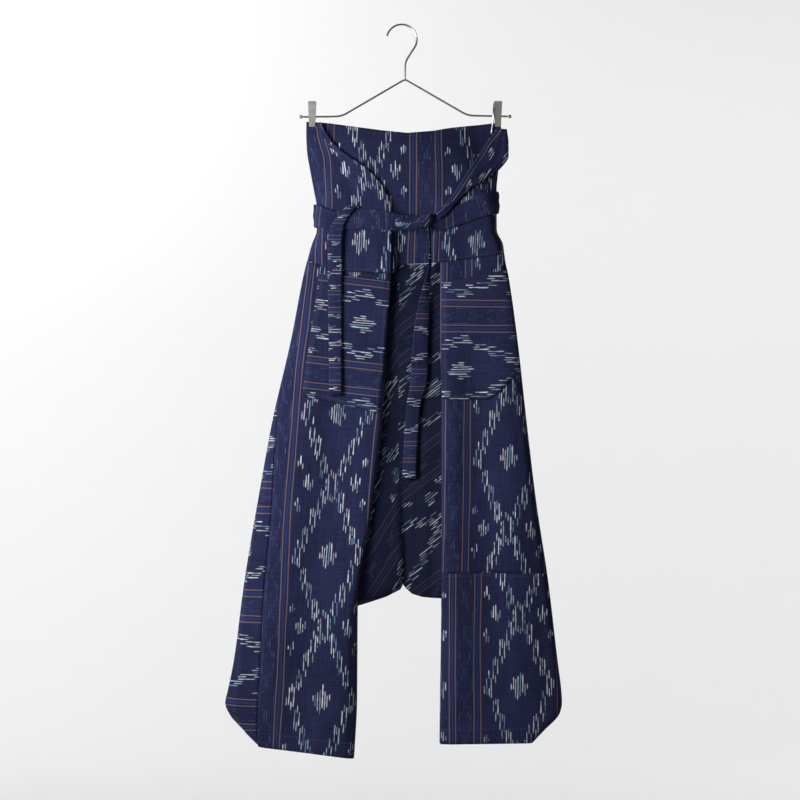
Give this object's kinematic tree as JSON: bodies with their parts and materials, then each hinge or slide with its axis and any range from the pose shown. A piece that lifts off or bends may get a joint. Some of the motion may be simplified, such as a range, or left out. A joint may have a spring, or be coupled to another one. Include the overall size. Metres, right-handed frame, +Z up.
{
  "type": "thai fisherman pants on a clip hanger",
  "caption": "Wide-legged wrap trousers in navy patterned cotton with a folded waist, a deep gusset, patch pockets and tie ends, hung flat by two clips from a wire hanger.",
  "frame": {"origin": "where the inside of the hanger's hook rests on what carries it, at the top of the hook", "axes": "+Z up, +X to the right as seen from the front, and the front of the trousers faces -Y; the hanger lies in the plane y = 0"},
  "size_m": [0.5291, 0.0657, 1.155],
  "materials": {
    "patterned_cotton": "plain-woven navy cotton with pale resist-dyed dashes and thin stripes",
    "gusset_cotton": "the same cotton cut on the bias, in the shade between the legs",
    "hanger_wire": "bright plated steel wire",
    "bead_brass": "satin, slightly dulled",
    "clip_nickel": "satin nickel plate",
    "spring_steel": "dark spring steel"
  },
  "bodies": {
    "root": {"waist_front": "patterned_cotton", "waist_back": "patterned_cotton", "left_leg_front": "patterned_cotton", "left_side_strip": "patterned_cotton", "left_leg_back": "patterned_cotton", "right_leg_front": "patterned_cotton", "right_leg_front_lower": "patterned_cotton", "right_leg_back": "patterned_cotton", "right_leg_back_lower": "patterned_cotton", "gusset_front": "gusset_cotton", "gusset_back": "gusset_cotton", "left_pocket": "patterned_cotton", "right_pocket": "patterned_cotton", "waist_band": "patterned_cotton", "right_tie": "patterned_cotton", "left_tie": "patterned_cotton", "centre_tie": "patterned_cotton", "tie_knot": "patterned_cotton", "hanger_hook": "hanger_wire", "hanger_arms": "hanger_wire", "hanger_bead_left": "bead_brass", "hanger_bead_right": "bead_brass", "clip_left_front_jaw": "clip_nickel", "clip_left_back_jaw": "clip_nickel", "clip_right_front_jaw": "clip_nickel", "clip_right_back_jaw": "clip_nickel", "clip_left_spring": "spring_steel", "clip_right_spring": "spring_steel"}
  },
  "joints": []
}
